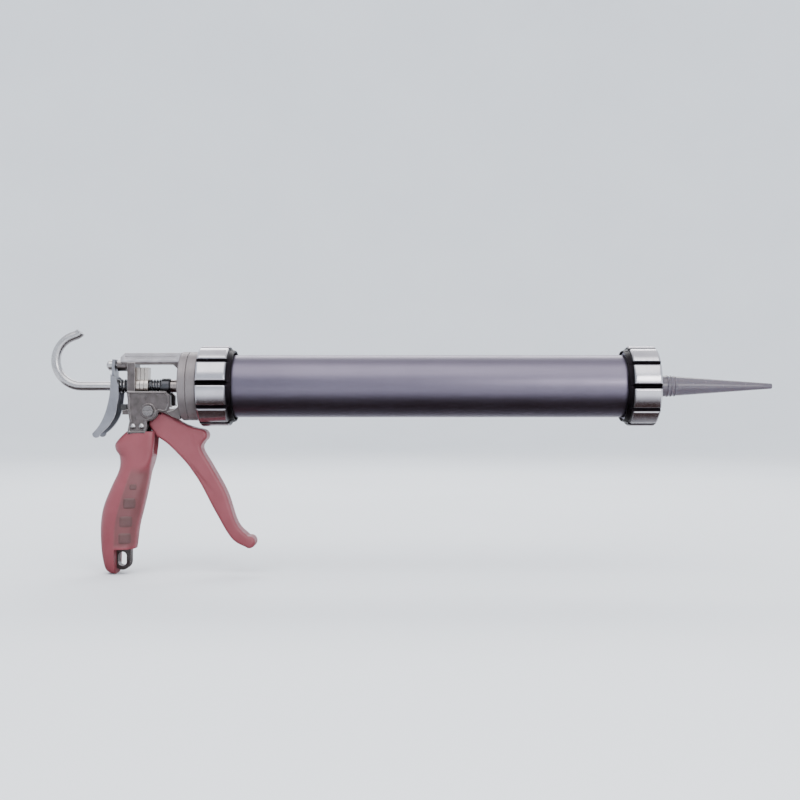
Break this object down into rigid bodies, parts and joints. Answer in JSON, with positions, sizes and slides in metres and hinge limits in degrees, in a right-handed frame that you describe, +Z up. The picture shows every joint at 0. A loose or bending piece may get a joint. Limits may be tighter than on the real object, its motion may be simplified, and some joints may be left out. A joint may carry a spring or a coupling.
{
  "type": "caulking gun",
  "caption": "Hand-driven caulking gun with a closed metal barrel between lobed ring nuts, a tapered nozzle, a hooked push rod and a pistol grip with a squeeze trigger.",
  "frame": {"origin": "centre of the nozzle's outlet, on the common axis of nozzle, barrel and rod", "axes": "+X is the way the sealant leaves the nozzle; +Z is up, away from the pistol grip; +Y completes a right-handed frame and points out of the gun's left side when the nozzle points away from the user"},
  "size_m": [0.6242, 0.069, 0.2109],
  "materials": {
    "cast_frame": "die-cast, polished, darkened in its recesses",
    "satin_tube": "satin anodised, fine drawn lines",
    "chromed_nut": "bright chrome",
    "bright_steel": "bright zinc",
    "lever_steel": "satin zinc",
    "plate_steel": "hardened, oiled",
    "black_steel": "blackened",
    "zinc_screw": "zinc plated",
    "bush_metal": "sintered, turned",
    "red_grip": "fine moulded grain",
    "dark_bars": "soft moulded",
    "rubber": "matte",
    "grey_nozzle": "moulded polyethylene",
    "white_cup": "moulded nylon"
  },
  "bodies": {
    "frame": {"frame_casting": "cast_frame", "barrel_seat": "cast_frame", "seat_screws": "zinc_screw", "rod_guide_bush": "bush_metal", "spring_cup": "black_steel", "cheek_rivets": "bright_steel", "stop_bumper": "rubber", "pivot_bolt": "bright_steel", "pivot_nut": "bright_steel", "lever_stud": "bright_steel", "grip_left": "red_grip", "grip_right": "red_grip", "grip_bars_left": "dark_bars", "grip_bars_right": "dark_bars", "grip_screws": "zinc_screw", "drive_spring": "black_steel", "brake_spring": "black_steel"},
    "barrel": {"barrel_tube": "satin_tube", "rear_flange": "satin_tube", "rear_gasket": "rubber", "front_thread_collar": "satin_tube"},
    "rear_ring": {"rear_ring_nut": "chromed_nut"},
    "front_cap": {"front_cap": "satin_tube", "front_gasket": "rubber", "nozzle_seal": "rubber", "nozzle": "grey_nozzle"},
    "front_ring": {"front_ring_nut": "chromed_nut"},
    "piston": {"piston_rod": "bright_steel", "piston_front_plate": "bright_steel", "piston_seal_cup": "white_cup", "piston_rear_plate": "bright_steel", "piston_nut": "bright_steel"},
    "trigger": {"trigger_lever": "black_steel", "push_pin": "bright_steel", "trigger_cover_left": "red_grip", "trigger_cover_right": "red_grip", "trigger_screws": "zinc_screw"},
    "drive_plates": {"drive_plate_1": "plate_steel", "drive_plate_2": "plate_steel", "drive_plate_3": "plate_steel"},
    "release_lever": {"release_lever": "lever_steel"}
  },
  "joints": [
    {"name": "rear_ring_turn", "type": "hinge", "parent": "barrel", "child": "rear_ring", "pos_m": [-0.494, 0, 0], "axis": [1, 0, 0], "range_deg": [0, 1800]},
    {"name": "barrel_draw", "type": "slide", "parent": "frame", "child": "barrel", "axis": [1, 0, 0], "range_m": [0, 0.0151]},
    {"name": "front_ring_turn", "type": "hinge", "parent": "front_cap", "child": "front_ring", "pos_m": [-0.13, 0, 0], "axis": [1, 0, 0], "range_deg": [0, 3600]},
    {"name": "front_cap_draw", "type": "slide", "parent": "barrel", "child": "front_cap", "axis": [1, 0, 0], "range_m": [0, 0.0301]},
    {"name": "rod_slide", "type": "slide", "parent": "frame", "child": "piston", "axis": [-1, 0, 0], "range_m": [-0.02, 0.33]},
    {"name": "trigger_pivot", "type": "hinge", "parent": "frame", "child": "trigger", "pos_m": [-0.5373, 0, -0.0215], "axis": [0, 1, 0], "range_deg": [0, 22], "stiffness_Nm_per_rad": 0.6, "springref_deg": -28.65},
    {"name": "drive_stroke", "type": "slide", "parent": "frame", "child": "drive_plates", "axis": [1, 0, 0], "range_m": [0, 0.0034], "deforming": ["drive_spring"]},
    {"name": "release_pivot", "type": "hinge", "parent": "frame", "child": "release_lever", "pos_m": [-0.5683, 0, 0.018], "axis": [0, -1, 0], "range_deg": [0, 4.2], "stiffness_Nm_per_rad": 0.15, "springref_deg": -20.05, "deforming": ["brake_spring"]}
  ],
  "couplings": [
    {"joint": "barrel_draw", "follows": "rear_ring_turn", "m_per_rad": 0.00047746},
    {"joint": "front_cap_draw", "follows": "front_ring_turn", "m_per_rad": 0.00047746},
    {"joint": "drive_stroke", "follows": "trigger_pivot", "m_per_rad": 0.0087}
  ]
}
